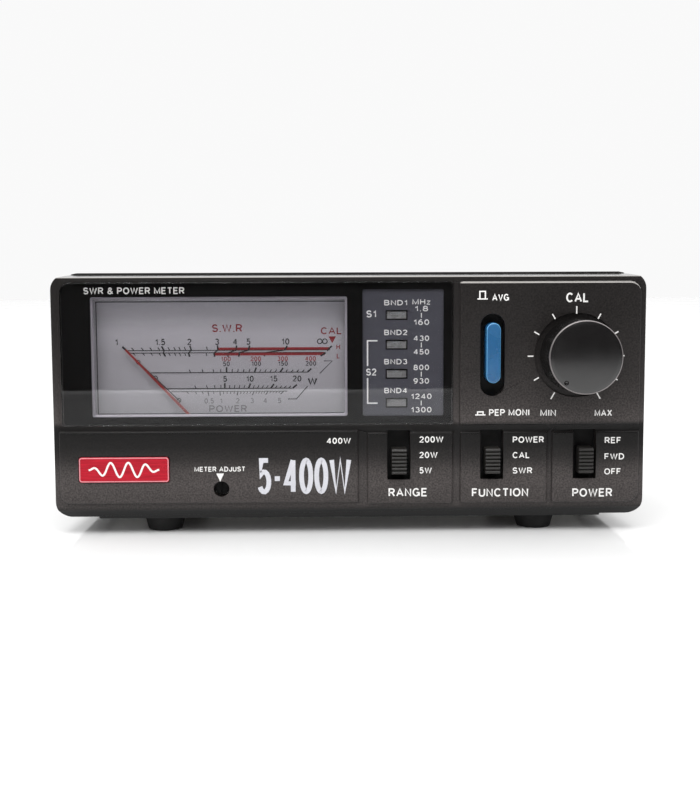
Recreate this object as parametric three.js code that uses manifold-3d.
// SWR and power meter for amateur radio: a moulded front bezel with a panel meter, a folded steel
// cover, a chassis tray and a rear panel that carries four coaxial sockets.
// Millimetres. +Z is up, -Y is the front, +X is to the right seen from the front. The origin is on
// the surface that the feet stand on, under the middle of the overall box.

import * as THREE from 'three';
import { mergeVertices } from 'three/addons/utils/BufferGeometryUtils.js';
import Module from 'manifold-3d';

const wasm = await Module();
wasm.setup();

// ---------------------------------------------------------------- driving dimensions

const WIDTH = 155;
const DEPTH = 103;
const HALF_WIDTH = WIDTH / 2;
const HALF_DEPTH = DEPTH / 2;

// Planes along Y, from the front to the back.
const KNOB_TIP_Y = -HALF_DEPTH;
const TILE_Y = -39; // face of the raised tiles and of the window pane
const FRAME_Y = -38.2; // face of the frame and floor of the grooves between the tiles
const WALL_BACK_Y = -36; // back of the bezel's front wall
const BEZEL_BACK_Y = -27;
const COVER_FRONT_Y = -26.8;
const REAR_PANEL_Y = 36;
const COVER_BACK_Y = 38;
const SOCKET_TIP_Y = HALF_DEPTH;

// Bezel.
const BEZEL_BOTTOM_Z = 4.6;
const BEZEL_LIP_Z = 4; // the middle of the lower edge hangs a little lower than its ends
const BEZEL_LIP_HALF = 66.5;
const BEZEL_FRONT_TOP_Z = 67.6;
const BEZEL_BACK_TOP_Z = 68.4;
const BEZEL_WALL = 2;
const BEZEL_TOP_RADIUS = 4;
const BEZEL_BOTTOM_RADIUS = 4.2;
const CHIN_TOP_Z = 6.7; // the bottom edge is cut back below this height
const CHIN_DEPTH = 2.2;

// Raised tiles: left, bottom, right, top, and the radii of the corners anticlockwise from bottom left,
// or one radius for all four.
const SMALL_RADIUS = 0.4;
const OUTER_RADIUS = 2.8;
const TILE_EDGE = 0.3;
const LOWER_TILE_TOP_Z = 26.9;
const LOWER_TILE_BOTTOM_Z = 8;
const TILES = {
  badge: { box: [-76.1, 8.4, 2.1, 27.5], radii: [OUTER_RADIUS, SMALL_RADIUS, SMALL_RADIUS, SMALL_RADIUS] },
  range: { box: [4.5, LOWER_TILE_BOTTOM_Z, 27, LOWER_TILE_TOP_Z], radii: SMALL_RADIUS },
  function: { box: [28.9, LOWER_TILE_BOTTOM_Z, 51.9, LOWER_TILE_TOP_Z], radii: SMALL_RADIUS },
  power: {
    box: [53.1, LOWER_TILE_BOTTOM_Z, 76.1, LOWER_TILE_TOP_Z],
    radii: [SMALL_RADIUS, OUTER_RADIUS, SMALL_RADIUS, SMALL_RADIUS],
  },
  controls: { box: [28.7, 28.7, 76.1, 66.1], radii: [SMALL_RADIUS, SMALL_RADIUS, OUTER_RADIUS, SMALL_RADIUS] },
};

// Window pane, the print behind it and the plate with the band legends.
const PANE = { box: [-75.1, 29, 26.9, 66.2], radii: [SMALL_RADIUS, SMALL_RADIUS, SMALL_RADIUS, OUTER_RADIUS] };
const PANE_BACK_Y = -37.2;
const MASK_FRONT_Y = -37.15;
const MASK_BACK_Y = -36.95;
const LEDGE_Y = -36.9;
const LEDGE_WIDTH = 1;
const FIT_GAP = 0.1;
const METER_WINDOW = [-67.4, 31.1, -0.7, 62.7];
const BAND_WINDOW = [3.3, 31.2, 24.5, 64.3];
const BAND_PLATE = [1.6, 30.3, 25.4, 64.6];
const BAND_PLATE_FRONT_Y = -36.85;
const BAND_PLATE_BACK_Y = -36.15;
const LENS_X = 12.2;
const LENS_PITCH = 7.65;
const LENS_Z = [0, 1, 2, 3].map((step) => 57.6 - step * LENS_PITCH);
const LENS_SIZE = [5.4, 2.3];
const LENS_STRIP_BACK_Y = -35.1;

// Controls on the front.
const KNOB = { x: 59.3, z: 47, frontRadius: 9.4, backRadius: 9.7 };
const KNOB_BACK_Y = -38.4;
const KNOB_RECESS_RADIUS = 11;
const KNOB_RECESS_Y = -38;
const BUTTON = { x: 37.2, z: 47.7, width: 3.8, height: 15.7, frontY: -41.3 };
const BUTTON_HOLE = { x: 37.2, z: 47.1, width: 6.3, height: 21.5 };
const LEVER_PITCH = 24.5;
const LEVER_X = [0, 1, 2].map((step) => 12.7 + step * LEVER_PITCH);
const LEVER_NAMES = ['range', 'function', 'power'];
const LEVER_Z = 19.4;
const LEVER_TRAVEL = 4;
const LEVER_FRONT_Y = -41.3;
const SLOT_WIDTH = 6;
const SLOT_BOTTOM_Z = 14.4;
const BADGE = [-71, 14.2, -47.5, 20.8];

// Parts behind the front wall that carry the controls.
const BUTTON_FLANGE_FRONT_Y = -35.7;
const BUTTON_FLANGE_BACK_Y = -34.8;
const DUST_PLATE_FRONT_Y = -35.8;
const DUST_PLATE_BACK_Y = -35.2;
const SWITCH_BACK_Y = -24.2;
const BOARD_FRONT_Y = -24;
const BOARD_BACK_Y = -22.4;
const SHAFT_RADIUS = 3;
const BUSH_RADIUS = 3.55;
const NUT_RADIUS = 5.7;

// Meter movement. The pivot's line runs along Y.
const PIVOT = { x: -33.6, z: 21.9 };
const POINTER_LENGTH = 37;
const POINTER_REST = THREE.MathUtils.degToRad(43.6); // to the left of straight up
const CASE = [-70, 9, 2, 66];
const SCALE_Y = -32;
const ZERO_SCREW = { x: -33.9, z: 12.2, radius: 1.85, pinOffset: 0.8, pinRadius: 0.5 };
const METER_COVER_FRONT_Y = -35.8; // the meter's own clear cover
const METER_COVER_BACK_Y = -35.2;
const METER_CASE_FRONT_Y = -34.9;
const METER_CASE_BACK_Y = -14;
const SCALE_MARGIN = 1.3;
const SCALE_BOTTOM_Z = 30;
const MAGNET_FRONT_Y = -30;
const MAGNET_BACK_Y = -19;
const POINTER_FRONT_Y = -33.3;
const POINTER_BACK_Y = -33;
const ARM_FRONT_Y = -34.45; // zero adjusting arm
const ARM_BACK_Y = -34.15;

// Cover, chassis and feet.
const COVER_HALF_WIDTH = 76.4;
const COVER_TOP_Z = 68.85;
const COVER_BOTTOM_Z = 4.6;
const COVER_SHEET = 0.9;
const COVER_RADIUS = 3.5;
const COVER_FOOT_RADIUS = 1.4;
const COVER_FLANGE = 5.7;
const CHASSIS_HALF_WIDTH = 75.2;
const CHASSIS_Z = 5.8;
const CHASSIS_SHEET = 1.2;
const CHASSIS_FLANGE_TOP_Z = 17;
const SCREW_Y = [-12, 26];
const SCREW_Z = 12;
const FOOT_X = 50;
const FOOT_FRONT_Y = -29;
const FOOT_BACK_Y = 28;
const FOOT_GAP = 0.1;
const FOOT_RADIUS = { top: 5.45, bottom: 4.7 };

// Rear sockets.
const SOCKET_Z = 37;
const SOCKET_FLANGE = 25.4;
const SOCKETS = [
  { name: 'uhf_tx', x: -52, kind: 'uhf' },
  { name: 'uhf_ant', x: -22, kind: 'uhf' },
  { name: 'n_tx', x: 22, kind: 'n' },
  { name: 'n_ant', x: 52, kind: 'n' },
];
const FLANGE_Y = REAR_PANEL_Y + 1.4;
const FLANGE_THICKNESS = 1.6;
const BARREL_RADIUS = 7.9;
const STUB_RADIUS = 7.2;
const FLANGE_SCREW_PITCH = 9.1;
const INSULATOR_BACK_Y = 34; // inner ends, in front of the rear panel
const CONTACT_BACK_Y = 31;
const SENSOR_BOX_FRONT_Y = 12;
const SENSOR_BOX_Z = [23, 51];
const DC_JACK = { x: 0, z: 19 };

// Roundness.
const FINE = 32;
const MEDIUM = 20;
const COARSE = 12;
const CORNER_STEPS = 2; // a rounded corner has twice as many sides
const ROUND_STEPS = 4;
const MERGE_DISTANCE = 1e-4;

// ---------------------------------------------------------------- materials

const paint = (color, roughness, metalness = 0) =>
  new THREE.MeshStandardMaterial({ color, roughness, metalness });

const MATERIALS = {
  bezel: () => paint(0x2b2827, 0.55),
  acrylic: () => paint(0xdfe4ea, 0.05),
  print: () => paint(0x0c0a0a, 0.3),
  bandPlate: () => paint(0x3c3c48, 0.5),
  lens: () => paint(0x8f8c90, 0.3),
  badge: () => paint(0xa81a2c, 0.35, 0.6),
  cover: () => paint(0x1c1b1c, 0.6, 0.2),
  chassis: () => paint(0xb8b8ba, 0.4, 0.9),
  rear: () => paint(0x1c1b1c, 0.6, 0.2),
  rubber: () => paint(0x0e0d0d, 0.8),
  steel: () => paint(0x9a9a9c, 0.35, 1),
  knob: () => paint(0x232223, 0.3),
  brass: () => paint(0xb99a52, 0.35, 1),
  button: () => paint(0x2f77ac, 0.3),
  switchBody: () => paint(0x5a5c5e, 0.5),
  lever: () => paint(0x151414, 0.5),
  board: () => paint(0x1f5a34, 0.5),
  meterCase: () => paint(0xd8d8d4, 0.4),
  scale: () => paint(0x9a95a2, 0.6),
  iron: () => paint(0x6d6d70, 0.5, 0.9),
  copper: () => paint(0xa8603a, 0.4, 0.9),
  pointer: () => paint(0x7a1f1f, 0.5),
  nickel: () => paint(0xc8c6c0, 0.25, 1),
  ptfe: () => paint(0xe9e8e2, 0.6),
  cable: () => paint(0x3a3634, 0.7),
};

// ---------------------------------------------------------------- geometry helpers

function toSolid(geometry) {
  const bare = geometry.clone();
  bare.deleteAttribute('normal');
  bare.deleteAttribute('uv');
  const merged = mergeVertices(bare, MERGE_DISTANCE);
  const mesh = new wasm.Mesh({
    numProp: 3,
    vertProperties: new Float32Array(merged.attributes.position.array),
    triVerts: new Uint32Array(merged.index.array),
  });
  return new wasm.Manifold(mesh);
}

function toGeometry(solid) {
  const mesh = solid.getMesh();
  const geometry = new THREE.BufferGeometry();
  geometry.setAttribute('position', new THREE.BufferAttribute(mesh.vertProperties, 3));
  geometry.setIndex(new THREE.BufferAttribute(mesh.triVerts, 1));
  geometry.computeVertexNormals();
  return geometry;
}

const join = (first, ...others) =>
  toGeometry(others.reduce((sum, piece) => sum.add(toSolid(piece)), toSolid(first)));

const cut = (body, ...tools) =>
  toGeometry(tools.reduce((rest, tool) => rest.subtract(toSolid(tool)), toSolid(body)));

const common = (first, second) => toGeometry(toSolid(first).intersect(toSolid(second)));

const grow = ([x0, z0, x1, z1], by) => [x0 - by, z0 - by, x1 + by, z1 + by];

// An outline in the X-Z plane with rounded corners.
function roundedRect([x0, z0, x1, z1], radii) {
  const [bl, br, tr, tl] = typeof radii === 'number' ? Array(4).fill(radii) : radii;
  const quarter = Math.PI / 2;
  const shape = new THREE.Shape();
  shape.moveTo(x0 + bl, z0);
  shape.lineTo(x1 - br, z0);
  shape.absarc(x1 - br, z0 + br, br, -quarter, 0, false);
  shape.lineTo(x1, z1 - tr);
  shape.absarc(x1 - tr, z1 - tr, tr, 0, quarter, false);
  shape.lineTo(x0 + tl, z1);
  shape.absarc(x0 + tl, z1 - tl, tl, quarter, 2 * quarter, false);
  shape.lineTo(x0, z0 + bl);
  shape.absarc(x0 + bl, z0 + bl, bl, 2 * quarter, 3 * quarter, false);
  return shape;
}

const stadium = ({ x, z, width, height }) =>
  roundedRect([x - width / 2, z - height / 2, x + width / 2, z + height / 2], width / 2 - 0.001);

function polygon(points) {
  const shape = new THREE.Shape();
  points.forEach(([a, b], index) => (index ? shape.lineTo(a, b) : shape.moveTo(a, b)));
  return shape;
}

const extrude = (shape, depth, steps = CORNER_STEPS) =>
  new THREE.ExtrudeGeometry(shape, { depth, bevelEnabled: false, curveSegments: steps });

// Extrudes an outline drawn in X-Z from y0 to y1.
function prismY(shape, y0, y1, steps) {
  const geometry = extrude(shape, y1 - y0, steps);
  geometry.rotateX(Math.PI / 2);
  geometry.translate(0, y1, 0);
  return geometry;
}

// Extrudes an outline drawn in Y-Z from x0 to x1.
function prismX(shape, x0, x1, steps) {
  const geometry = extrude(shape, x1 - x0, steps);
  geometry.rotateX(Math.PI / 2);
  geometry.rotateZ(Math.PI / 2);
  geometry.translate(x0, 0, 0);
  return geometry;
}

function box(x0, y0, z0, x1, y1, z1) {
  const geometry = new THREE.BoxGeometry(x1 - x0, y1 - y0, z1 - z0);
  geometry.translate((x0 + x1) / 2, (y0 + y1) / 2, (z0 + z1) / 2);
  return geometry;
}

// Turns a profile of [radius, y] points about the Y axis. The outside runs towards +Y.
const turned = (profile, segments = MEDIUM) =>
  new THREE.LatheGeometry(profile.map(([radius, y]) => new THREE.Vector2(radius, y)), segments);

const rod = (radius, y0, y1, segments) => turned([[0, y0], [radius, y0], [radius, y1], [0, y1]], segments);

const tube = (inner, outer, y0, y1, segments) =>
  turned([[inner, y0], [outer, y0], [outer, y1], [inner, y1], [inner, y0]], segments);

const shifted = (geometry, x, y, z) => geometry.clone().translate(x, y, z);

// ---------------------------------------------------------------- the assembly

const meter = new THREE.Group();

function add(name, geometry, material, position = [0, 0, 0]) {
  const mesh = new THREE.Mesh(geometry, material());
  mesh.name = name;
  mesh.position.set(...position);
  meter.add(mesh);
}

// A raised tile on the bezel with a small bevel along its front edge.
function tilePad({ box: area, radii }) {
  const geometry = new THREE.ExtrudeGeometry(roundedRect(area, radii), {
    depth: 1,
    bevelThickness: TILE_EDGE,
    bevelSize: TILE_EDGE,
    bevelOffset: -TILE_EDGE,
    bevelSegments: 1,
    curveSegments: CORNER_STEPS,
  });
  geometry.rotateX(Math.PI / 2);
  geometry.translate(0, TILE_Y + TILE_EDGE + 1, 0);
  return geometry;
}

function bezelShell() {
  const outline = prismY(
    roundedRect(
      [-HALF_WIDTH, BEZEL_BOTTOM_Z, HALF_WIDTH, BEZEL_BACK_TOP_Z],
      [BEZEL_BOTTOM_RADIUS, BEZEL_BOTTOM_RADIUS, BEZEL_TOP_RADIUS, BEZEL_TOP_RADIUS],
    ),
    FRAME_Y,
    BEZEL_BACK_Y,
    ROUND_STEPS,
  );
  const lip = box(-BEZEL_LIP_HALF, FRAME_Y, BEZEL_LIP_Z, BEZEL_LIP_HALF, BEZEL_BACK_Y, CHIN_TOP_Z);
  const sideProfile = prismX(
    polygon([
      [FRAME_Y, CHIN_TOP_Z],
      [FRAME_Y + CHIN_DEPTH, BEZEL_LIP_Z],
      [BEZEL_BACK_Y, BEZEL_LIP_Z],
      [BEZEL_BACK_Y, BEZEL_BACK_TOP_Z],
      [FRAME_Y, BEZEL_FRONT_TOP_Z],
    ]),
    -HALF_WIDTH - 1,
    HALF_WIDTH + 1,
  );
  const inside = box(
    -HALF_WIDTH + BEZEL_WALL,
    WALL_BACK_Y,
    BEZEL_BOTTOM_Z + BEZEL_WALL,
    HALF_WIDTH - BEZEL_WALL,
    BEZEL_BACK_Y + 1,
    BEZEL_FRONT_TOP_Z - BEZEL_WALL + 0.6,
  );
  return cut(common(join(outline, lip), sideProfile), inside);
}

function frontBezel() {
  const paneSeat = prismY(roundedRect(grow(PANE.box, FIT_GAP), PANE.radii), FRAME_Y - 1, LEDGE_Y);
  const ledge = roundedRect(grow(PANE.box, -LEDGE_WIDTH), SMALL_RADIUS);
  const windowHole = prismY(ledge, LEDGE_Y - 1, WALL_BACK_Y + 1);
  const knobRecess = shifted(rod(KNOB_RECESS_RADIUS, TILE_Y - 1, KNOB_RECESS_Y, FINE), KNOB.x, 0, KNOB.z);
  const bushHole = shifted(rod(BUSH_RADIUS + FIT_GAP, TILE_Y - 1, WALL_BACK_Y + 1, MEDIUM), KNOB.x, 0, KNOB.z);
  const buttonHole = prismY(stadium(BUTTON_HOLE), TILE_Y - 1, WALL_BACK_Y + 1, ROUND_STEPS);
  const slots = LEVER_X.map((x) =>
    box(x - SLOT_WIDTH / 2, TILE_Y - 1, SLOT_BOTTOM_Z, x + SLOT_WIDTH / 2, WALL_BACK_Y + 1, LOWER_TILE_TOP_Z + 0.5),
  );
  const zero = rod(ZERO_SCREW.radius + 0.2, TILE_Y - 1, WALL_BACK_Y + 1, MEDIUM);
  const zeroHole = shifted(zero, ZERO_SCREW.x, 0, ZERO_SCREW.z);
  const badgeSeat = prismY(roundedRect(grow(BADGE, FIT_GAP), 0.8), TILE_Y - 1, TILE_Y + 0.5);
  const tiled = join(bezelShell(), ...Object.values(TILES).map(tilePad));
  return cut(tiled, paneSeat, windowHole, knobRecess, bushHole, buttonHole, ...slots, zeroHole, badgeSeat);
}

// The pane, its black print with two openings, and what shows through the narrow one.
function addWindow() {
  add('window_pane', prismY(roundedRect(PANE.box, PANE.radii), TILE_Y, PANE_BACK_Y), MATERIALS.acrylic);
  const print = prismY(roundedRect(grow(PANE.box, -0.3), PANE.radii), MASK_FRONT_Y, MASK_BACK_Y);
  const openings = [METER_WINDOW, BAND_WINDOW].map((area) =>
    prismY(roundedRect(area, SMALL_RADIUS), MASK_FRONT_Y - 1, MASK_BACK_Y + 1),
  );
  add('window_mask', cut(print, ...openings), MATERIALS.print);

  const [lensWidth, lensHeight] = LENS_SIZE;
  const lensBox = (z, gap, y0, y1) =>
    box(
      LENS_X - lensWidth / 2 - gap,
      y0,
      z - lensHeight / 2 - gap,
      LENS_X + lensWidth / 2 + gap,
      y1,
      z + lensHeight / 2 + gap,
    );
  const plate = prismY(roundedRect(BAND_PLATE, SMALL_RADIUS), BAND_PLATE_FRONT_Y, BAND_PLATE_BACK_Y);
  const lensHoles = LENS_Z.map((z) => lensBox(z, FIT_GAP, BAND_PLATE_FRONT_Y - 1, BAND_PLATE_BACK_Y + 1));
  add('band_plate', cut(plate, ...lensHoles), MATERIALS.bandPlate);
  const stripBack = box(LENS_X - 3.4, BAND_PLATE_BACK_Y + 0.15, 32.6, LENS_X + 3.4, LENS_STRIP_BACK_Y, 60);
  const lenses = LENS_Z.map((z) => lensBox(z, 0, BAND_PLATE_FRONT_Y, LENS_STRIP_BACK_Y));
  add('band_lens_strip', join(stripBack, ...lenses), MATERIALS.lens);
}

function addBadge() {
  add('badge_plate', prismY(roundedRect(BADGE, 0.7), TILE_Y - 0.3, TILE_Y + 0.4), MATERIALS.badge);
}

// ---------------------------------------------------------------- calibration control

function addCalibration() {
  const { x, z, frontRadius, backRadius } = KNOB;
  const skirt = 7.6;
  const hub = 4;
  const bore = SHAFT_RADIUS + 0.05;
  const hubBackY = -41.5;
  const knob = turned(
    [
      [0, KNOB_TIP_Y],
      [frontRadius - 0.7, KNOB_TIP_Y + 0.35],
      [frontRadius, KNOB_TIP_Y + 0.9],
      [backRadius, KNOB_BACK_Y],
      [skirt, KNOB_BACK_Y],
      [skirt, KNOB_TIP_Y + 3],
      [hub, KNOB_TIP_Y + 3],
      [hub, hubBackY],
      [bore, hubBackY],
      [bore, KNOB_TIP_Y + 3.5],
      [0, KNOB_TIP_Y + 3.5],
    ],
    FINE,
  );
  add('cal_knob', knob, MATERIALS.knob, [x, 0, z]);
  add('cal_shaft', rod(SHAFT_RADIUS, KNOB_TIP_Y + 3.8, -30.2, MEDIUM), MATERIALS.brass, [x, 0, z]);

  const bushFrontY = -41;
  const bodyFrontY = -35.8;
  const bodyBackY = -26;
  const bushBore = SHAFT_RADIUS + 0.15;
  const potentiometer = turned([
    [0, -30],
    [bushBore, -30],
    [bushBore, bushFrontY],
    [BUSH_RADIUS, bushFrontY],
    [BUSH_RADIUS, bodyFrontY],
    [8, bodyFrontY],
    [8, bodyBackY],
    [0, bodyBackY],
  ]);
  add('cal_potentiometer', potentiometer, MATERIALS.steel, [x, 0, z]);

  const nut = new THREE.Shape();
  const corners = Array.from({ length: 6 }, (unused, index) => (index * Math.PI) / 3);
  corners.forEach((angle, index) => {
    const point = [NUT_RADIUS * Math.cos(angle), NUT_RADIUS * Math.sin(angle)];
    return index ? nut.lineTo(...point) : nut.moveTo(...point);
  });
  const nutHole = new THREE.Path();
  nutHole.absarc(0, 0, BUSH_RADIUS + 0.15, 0, 2 * Math.PI, true);
  nut.holes.push(nutHole);
  add('cal_nut', prismY(nut, -39.9, KNOB_RECESS_Y - 0.1, MEDIUM / 2), MATERIALS.steel, [x, 0, z]);
}

// ---------------------------------------------------------------- push button and slide levers

function addModeSwitch() {
  const { x, z, width, height, frontY } = BUTTON;
  const cap = prismY(stadium(BUTTON), frontY, -34.5, ROUND_STEPS);
  const rim = stadium({ x, z: BUTTON_HOLE.z, width: width + 3.8, height: height + 7 });
  const flange = prismY(rim, BUTTON_FLANGE_FRONT_Y, BUTTON_FLANGE_BACK_Y, ROUND_STEPS);
  const stem = box(x - 1.5, BUTTON_FLANGE_BACK_Y - 0.1, z - 2, x + 1.5, -29.6, z + 2);
  add('mode_button', join(cap, flange, stem), MATERIALS.button);

  const body = box(x - 4.2, -30.6, z - 7, x + 4.2, SWITCH_BACK_Y, z + 7);
  const guide = box(x - 1.7, -31, z - 2.2, x + 1.7, -26.2, z + 2.2);
  add('mode_switch', cut(body, guide), MATERIALS.switchBody);
}

// A lever stands at its lowest position. Its tab shows in the slot and its dust plate slides
// behind the bezel's wall.
function addLever(name, x) {
  const [frontY, backY] = [DUST_PLATE_FRONT_Y, DUST_PLATE_BACK_Y];
  const tab = box(x - 1.9, LEVER_FRONT_Y, LEVER_Z - 3.35, x + 1.9, backY, LEVER_Z + 3.35);
  const dustPlate = box(x - 3.8, frontY, LEVER_Z - 9.3, x + 3.8, backY, LEVER_Z + 8.6);
  const stem = box(x - 1, backY - 0.1, LEVER_Z - 1.5, x + 1, -31.2, LEVER_Z + 1.5);
  add(`${name}_lever`, join(tab, dustPlate, stem), MATERIALS.lever);

  const body = box(x - 5, -34, LEVER_Z - 7, x + 5, SWITCH_BACK_Y, LEVER_Z + 11);
  const channel = box(x - 1.2, -35, LEVER_Z - 1.8, x + 1.2, -30.8, LEVER_Z + 1.8 + LEVER_TRAVEL);
  add(`${name}_switch`, cut(body, channel), MATERIALS.switchBody);
}

function addMainBoard() {
  add('main_board', box(4, BOARD_FRONT_Y, 10, 74, BOARD_BACK_Y, 64), MATERIALS.board);
}

// ---------------------------------------------------------------- panel meter

function addMeterCase() {
  const [x0, z0, x1, z1] = CASE;
  const frontY = METER_CASE_FRONT_Y;
  const backY = METER_CASE_BACK_Y;
  const wall = 1;
  const shell = cut(
    box(x0, frontY, z0, x1, backY, z1),
    box(x0 + wall, frontY - 1, z0 + wall, x1 - wall, backY - wall, z1 - wall),
  );
  const bearing = shifted(tube(0.6, 2, -17.6, backY - wall / 2, COARSE), PIVOT.x, 0, PIVOT.z);
  add('meter_case', join(shell, bearing), MATERIALS.meterCase);

  const cover = box(x0, METER_COVER_FRONT_Y, z0, x1, METER_COVER_BACK_Y, z1);
  const screwHole = shifted(rod(1.55, -37, -34, COARSE), ZERO_SCREW.x, 0, ZERO_SCREW.z);
  add('meter_cover', cut(cover, screwHole), MATERIALS.acrylic);
  const scale = box(
    x0 + SCALE_MARGIN,
    SCALE_Y,
    SCALE_BOTTOM_Z,
    x1 - SCALE_MARGIN,
    SCALE_Y + 0.5,
    z1 - SCALE_MARGIN,
  );
  add('scale_plate', scale, MATERIALS.scale);

  const lamp = turned([[0, -30.5], [1.5, -30.5], [1.5, -26.5], [1.1, -25.6], [0, -25.2]], COARSE);
  add('meter_lamp', lamp, MATERIALS.acrylic, [PIVOT.x, 0, 61.5]);
}

// The yoke and core stay still. The coil turns in the gap between them.
function addMagnet() {
  const { x, z } = PIVOT;
  const yoke = cut(tube(7.2, 10, MAGNET_FRONT_Y, MAGNET_BACK_Y, FINE), box(-0.9, -26, -11, 0.9, -23, -7));
  add('meter_yoke', yoke, MATERIALS.iron, [x, 0, z]);
  const core = join(rod(5.3, MAGNET_FRONT_Y, MAGNET_BACK_Y, MEDIUM), box(-0.8, -25.9, -9.8, 0.8, -23.1, -5));
  add('meter_core', core, MATERIALS.iron, [x, 0, z]);

  const strap = box(-8.6, -35, -1.6, 8.6, -34.6, 1.6);
  const legs = [-8.6, 7.4].map((legX) => box(legX, -34.7, -1.6, legX + 1.2, -30.2, 1.6));
  const bridge = cut(join(strap, ...legs), rod(0.5, -36, -34, COARSE));
  add('meter_bridge', bridge, MATERIALS.brass, [x, 0, z]);
}

function addMovement() {
  const { x, z } = PIVOT;
  const outer = 6.6;
  const bar = 0.8;
  const frontY = -31.2;
  const backY = -17.9;
  const halfThick = 0.8;
  const loop = cut(
    box(-outer, frontY, -halfThick, outer, backY, halfThick),
    box(-outer + bar, frontY + bar, -2, outer - bar, backY - bar, 2),
  );
  const arbor = turned(
    [[0, -34.9], [0.35, -34.9], [0.35, -34], [0.8, -34], [0.8, frontY + 0.4], [0, frontY + 0.4]],
    COARSE,
  );
  const tail = rod(0.4, backY - 0.4, -16.4, COARSE);
  const coil = join(loop, arbor, tail);
  coil.rotateY(-POINTER_REST);
  add('moving_coil', coil, MATERIALS.copper, [x, 0, z]);

  const bladeOutline = polygon([[-0.4, 1.2], [0.4, 1.2], [0.25, POINTER_LENGTH], [-0.25, POINTER_LENGTH]]);
  const blade = prismY(bladeOutline, POINTER_FRONT_Y, POINTER_BACK_Y);
  const balance = prismY(roundedRect([-0.6, -6, 0.6, -1.2], 0.5), POINTER_FRONT_Y, POINTER_BACK_Y);
  const hub = tube(0.85, 1.7, POINTER_FRONT_Y - 0.1, POINTER_BACK_Y + 0.1, COARSE);
  const pointer = join(hub, blade, balance);
  pointer.rotateY(-POINTER_REST);
  add('pointer', pointer, MATERIALS.pointer, [x, 0, z]);

  add('hairspring', hairspring(), MATERIALS.brass, [x, 0, z]);
}

// A flat spiral strip of three turns around the arbor.
function hairspring() {
  const turns = 3;
  const innerRadius = 1.15;
  const pitch = 0.55;
  const steps = 42;
  const middleY = -33.75;
  const points = Array.from({ length: steps + 1 }, (unused, index) => {
    const angle = (2 * Math.PI * turns * index) / steps;
    const radius = innerRadius + (pitch * angle) / (2 * Math.PI);
    return new THREE.Vector3(radius * Math.cos(angle), middleY, radius * Math.sin(angle));
  });
  const strip = polygon([[-0.1, -0.1], [0.1, -0.1], [0.1, 0.1], [-0.1, 0.1]]);
  return new THREE.ExtrudeGeometry(strip, {
    steps,
    extrudePath: new THREE.CatmullRomCurve3(points),
  });
}

// Turning the screw swings the arm through an eccentric pin in the arm's fork.
function addZeroAdjuster() {
  const { x, z, radius, pinOffset, pinRadius } = ZERO_SCREW;
  const slot = box(-0.3, -38, -radius - 1, 0.3, -36.5, radius + 1);
  const head = cut(rod(radius, -37, -35.95, MEDIUM), slot);
  const neck = rod(1.4, -36.1, -35, COARSE);
  const pin = shifted(rod(pinRadius, -35.1, -33.95, COARSE), 0, 0, pinOffset);
  add('zero_screw', join(head, neck, pin), MATERIALS.ptfe, [x, 0, z]);

  const armLength = PIVOT.z - ZERO_SCREW.z;
  const forkGap = pinRadius + 0.14;
  const ring = tube(0.6, 1.9, ARM_FRONT_Y, ARM_BACK_Y, COARSE);
  const forkX = ZERO_SCREW.x - PIVOT.x;
  const arm = cut(
    box(-1.5, ARM_FRONT_Y, -armLength + 0.1, 1.5, ARM_BACK_Y, -1.2),
    box(forkX - forkGap, ARM_FRONT_Y - 1, -armLength - 1, forkX + forkGap, ARM_BACK_Y + 1, -armLength + 2),
  );
  add('corrector_arm', join(ring, arm), MATERIALS.brass, [PIVOT.x, 0, PIVOT.z]);
}

// ---------------------------------------------------------------- cover, chassis, rear panel, feet

function topCover() {
  const quarter = Math.PI / 2;
  const [w, top, bottom, t] = [COVER_HALF_WIDTH, COVER_TOP_Z, COVER_BOTTOM_Z, COVER_SHEET];
  const [big, small] = [COVER_RADIUS, COVER_FOOT_RADIUS];
  const shape = new THREE.Shape();
  shape.moveTo(-w + COVER_FLANGE, bottom);
  shape.lineTo(-w + COVER_FLANGE, bottom + t);
  shape.lineTo(-w + small, bottom + t);
  shape.absarc(-w + small, bottom + small, small - t, 3 * quarter, 2 * quarter, true);
  shape.lineTo(-w + t, top - big);
  shape.absarc(-w + big, top - big, big - t, 2 * quarter, quarter, true);
  shape.lineTo(w - big, top - t);
  shape.absarc(w - big, top - big, big - t, quarter, 0, true);
  shape.lineTo(w - t, bottom + small);
  shape.absarc(w - small, bottom + small, small - t, 0, -quarter, true);
  shape.lineTo(w - COVER_FLANGE, bottom + t);
  shape.lineTo(w - COVER_FLANGE, bottom);
  shape.lineTo(w - small, bottom);
  shape.absarc(w - small, bottom + small, small, -quarter, 0, false);
  shape.lineTo(w, top - big);
  shape.absarc(w - big, top - big, big, 0, quarter, false);
  shape.lineTo(-w + big, top);
  shape.absarc(-w + big, top - big, big, quarter, 2 * quarter, false);
  shape.lineTo(-w, bottom + small);
  shape.absarc(-w + small, bottom + small, small, 2 * quarter, 3 * quarter, false);
  const sheet = prismY(shape, COVER_FRONT_Y, COVER_BACK_Y);
  return cut(sheet, ...screwHoles(1.75));
}

// Holes through both sides for the cover screws.
function screwHoles(radius) {
  return SCREW_Y.map((y) => {
    const hole = rod(radius, -HALF_WIDTH - 1, HALF_WIDTH + 1, COARSE);
    hole.rotateZ(Math.PI / 2);
    return shifted(hole, 0, y, SCREW_Z);
  });
}

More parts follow.
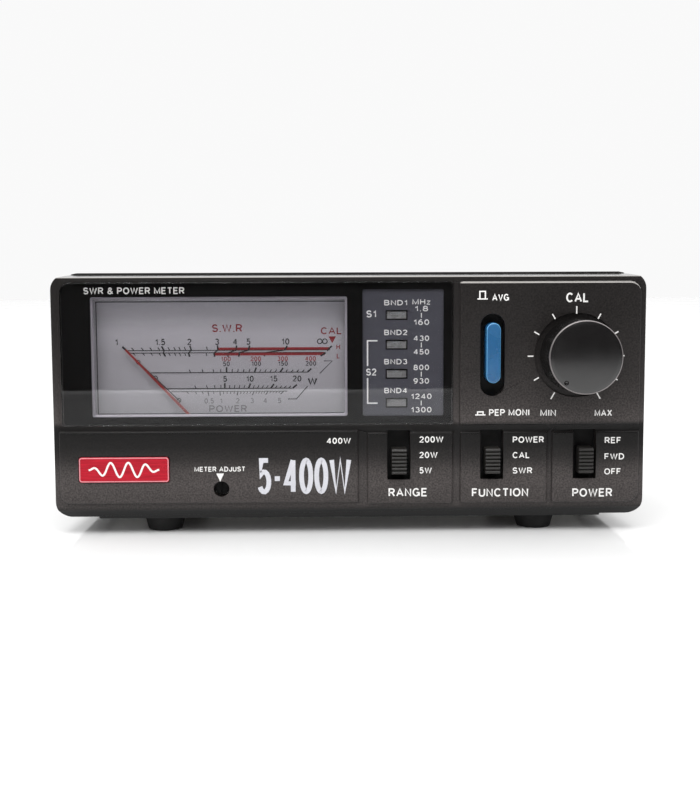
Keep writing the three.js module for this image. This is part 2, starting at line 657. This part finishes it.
function chassis() {
  const w = CHASSIS_HALF_WIDTH;
  const [y0, y1] = [COVER_FRONT_Y + 0.2, REAR_PANEL_Y - 0.3];
  const floor = box(-w, y0, CHASSIS_Z, w, y1, CHASSIS_Z + CHASSIS_SHEET);
  const sides = [-w, w - CHASSIS_SHEET].map((x) =>
    box(x, y0, CHASSIS_Z, x + CHASSIS_SHEET, y1, CHASSIS_FLANGE_TOP_Z),
  );
  const back = box(-w, y1 - CHASSIS_SHEET, CHASSIS_Z, w, y1, CHASSIS_FLANGE_TOP_Z - 4);
  return cut(join(floor, ...sides, back), ...screwHoles(1.65));
}

function rearPanel() {
  const sheet = prismY(
    roundedRect([-CHASSIS_HALF_WIDTH, CHASSIS_Z, CHASSIS_HALF_WIDTH, COVER_TOP_Z - 1.2], [0.5, 0.5, 2.2, 2.2]),
    REAR_PANEL_Y,
    REAR_PANEL_Y + 1.2,
  );
  const socketHoles = SOCKETS.map(({ x }) => shifted(rod(STUB_RADIUS + 0.4, 30, 40, MEDIUM), x, 0, SOCKET_Z));
  const jackHole = shifted(rod(4.2, 30, 40, MEDIUM), DC_JACK.x, 0, DC_JACK.z);
  return cut(sheet, ...socketHoles, jackHole);
}

function addEnclosure() {
  add('top_cover', topCover(), MATERIALS.cover);
  add('chassis', chassis(), MATERIALS.chassis);
  add('rear_panel', rearPanel(), MATERIALS.rear);

  const screw = turned([[0, -4.5], [1.5, -4.5], [1.5, 0.1], [2.8, 0.1], [2.8, 0.6], [2.2, 1], [0, 1]], COARSE);
  for (const [side, direction] of [['left', -1], ['right', 1]]) {
    SCREW_Y.forEach((y, index) => {
      const shank = screw.clone();
      shank.rotateZ(-direction * (Math.PI / 2));
      add(`cover_screw_${side}_${index + 1}`, shank, MATERIALS.steel, [
        direction * (HALF_WIDTH - 1),
        y,
        SCREW_Z,
      ]);
    });
  }
}

function addFeet() {
  const { top, bottom } = FOOT_RADIUS;
  const [frontFoot, backFoot] = [BEZEL_LIP_Z, CHASSIS_Z].map((seat) => {
    const height = seat - FOOT_GAP;
    const foot = turned([[0, 0], [bottom - 0.4, 0], [bottom, 0.4], [top, height], [0, height]]);
    return foot.rotateX(Math.PI / 2);
  });
  for (const [side, direction] of [['left', -1], ['right', 1]]) {
    add(`foot_front_${side}`, frontFoot, MATERIALS.rubber, [direction * FOOT_X, FOOT_FRONT_Y, 0]);
    add(`foot_back_${side}`, backFoot, MATERIALS.rubber, [direction * FOOT_X, FOOT_BACK_Y, 0]);
  }
}

// ---------------------------------------------------------------- rear sockets and wiring

function socketShell(bore, tipY) {
  const half = SOCKET_FLANGE / 2;
  const flange = prismY(roundedRect([-half, -half, half, half], 1.5), FLANGE_Y, FLANGE_Y + FLANGE_THICKNESS);
  const barrel = tube(bore, BARREL_RADIUS, FLANGE_Y + 0.5, tipY, FINE);
  const stub = tube(bore, STUB_RADIUS, 33, FLANGE_Y + 1, FINE);
  const corners = [-FLANGE_SCREW_PITCH, FLANGE_SCREW_PITCH];
  const holes = corners.flatMap((x) => corners.map((z) => shifted(rod(1.6, 30, 45, COARSE), x, 0, z)));
  const clearBore = rod(bore, 30, tipY + 1, FINE);
  return cut(join(flange, barrel, stub), clearBore, ...holes);
}

// The wide coaxial socket: a broad insulator up to the mouth around a 4 mm centre socket.
const UHF_PARTS = {
  shell: socketShell(5.6, SOCKET_TIP_Y),
  insulator: tube(3, 5.5, INSULATOR_BACK_Y, SOCKET_TIP_Y - 1.2),
  contact: turned(
    [
      [0, CONTACT_BACK_Y],
      [1.2, CONTACT_BACK_Y],
      [1.2, INSULATOR_BACK_Y],
      [2.9, INSULATOR_BACK_Y],
      [2.9, SOCKET_TIP_Y - 0.5],
      [2, SOCKET_TIP_Y - 0.5],
      [2, 39],
      [0, 39],
    ],
    COARSE,
  ),
};

// The narrow one: an insulator set deep inside around a thin slotted contact.
const N_PARTS = {
  shell: socketShell(4.3, SOCKET_TIP_Y),
  insulator: tube(1.65, 4.2, INSULATOR_BACK_Y, 43),
  contact: turned(
    [[0, CONTACT_BACK_Y], [1.55, CONTACT_BACK_Y], [1.55, 50], [0.85, 50], [0.85, 44], [0, 44]],
    COARSE,
  ),
};

function addSockets() {
  for (const { name, x, kind } of SOCKETS) {
    const parts = kind === 'uhf' ? UHF_PARTS : N_PARTS;
    add(`${name}_socket`, parts.shell, MATERIALS.nickel, [x, 0, SOCKET_Z]);
    add(`${name}_insulator`, parts.insulator, MATERIALS.ptfe, [x, 0, SOCKET_Z]);
    add(`${name}_contact`, parts.contact, MATERIALS.brass, [x, 0, SOCKET_Z]);
  }
}

// Each pair of sockets has a tinplate box around its line coupler, open against the rear panel.
function addSensorBoxes() {
  const [z0, z1] = SENSOR_BOX_Z;
  const backY = REAR_PANEL_Y - 0.3;
  for (const [name, x0, x1] of [['hf_sensor_box', -67, -7], ['uhf_sensor_box', 7, 67]]) {
    const shell = cut(
      box(x0, SENSOR_BOX_FRONT_Y, z0, x1, backY, z1),
      box(x0 + 0.8, SENSOR_BOX_FRONT_Y + 0.8, z0 + 0.8, x1 - 0.8, backY + 1, z1 - 0.8),
    );
    add(name, shell, MATERIALS.nickel);
  }
}

function addDcJack() {
  const jack = turned([
    [0, 26],
    [4.5, 26],
    [4.5, 35.6],
    [3.9, 35.6],
    [3.9, 40.5],
    [2.75, 40.5],
    [2.75, 31],
    [1, 31],
    [1, 39.5],
    [0, 39.5],
  ]);
  add('dc_jack', jack, MATERIALS.switchBody, [DC_JACK.x, 0, DC_JACK.z]);
}

function lead(points) {
  const section = new THREE.Shape();
  section.absarc(0, 0, 1.1, 0, 2 * Math.PI, false);
  const path = new THREE.CatmullRomCurve3(points.map((point) => new THREE.Vector3(...point)));
  return new THREE.ExtrudeGeometry(section, { steps: 20, curveSegments: ROUND_STEPS, extrudePath: path });
}

// Screened leads from the sensor boxes to the board.
function addLeads() {
  const hf = [[-30, 11.6, 30], [-30, 6, 29], [-20, -3, 26], [4, -7, 25], [13, -13, 25], [14, -22, 25]];
  const uhf = [[30, 11.6, 30], [30, 6, 30], [33, -3, 28], [38, -12, 26], [40, -22, 26]];
  add('hf_sensor_lead', lead(hf), MATERIALS.cable);
  add('uhf_sensor_lead', lead(uhf), MATERIALS.cable);
}

add('front_bezel', frontBezel(), MATERIALS.bezel);
addWindow();
addBadge();
addCalibration();
addModeSwitch();
LEVER_NAMES.forEach((name, index) => addLever(name, LEVER_X[index]));
addMainBoard();
addMeterCase();
addMagnet();
addMovement();
addZeroAdjuster();
addEnclosure();
addFeet();
addSockets();
addSensorBoxes();
addDcJack();
addLeads();

export default meter;
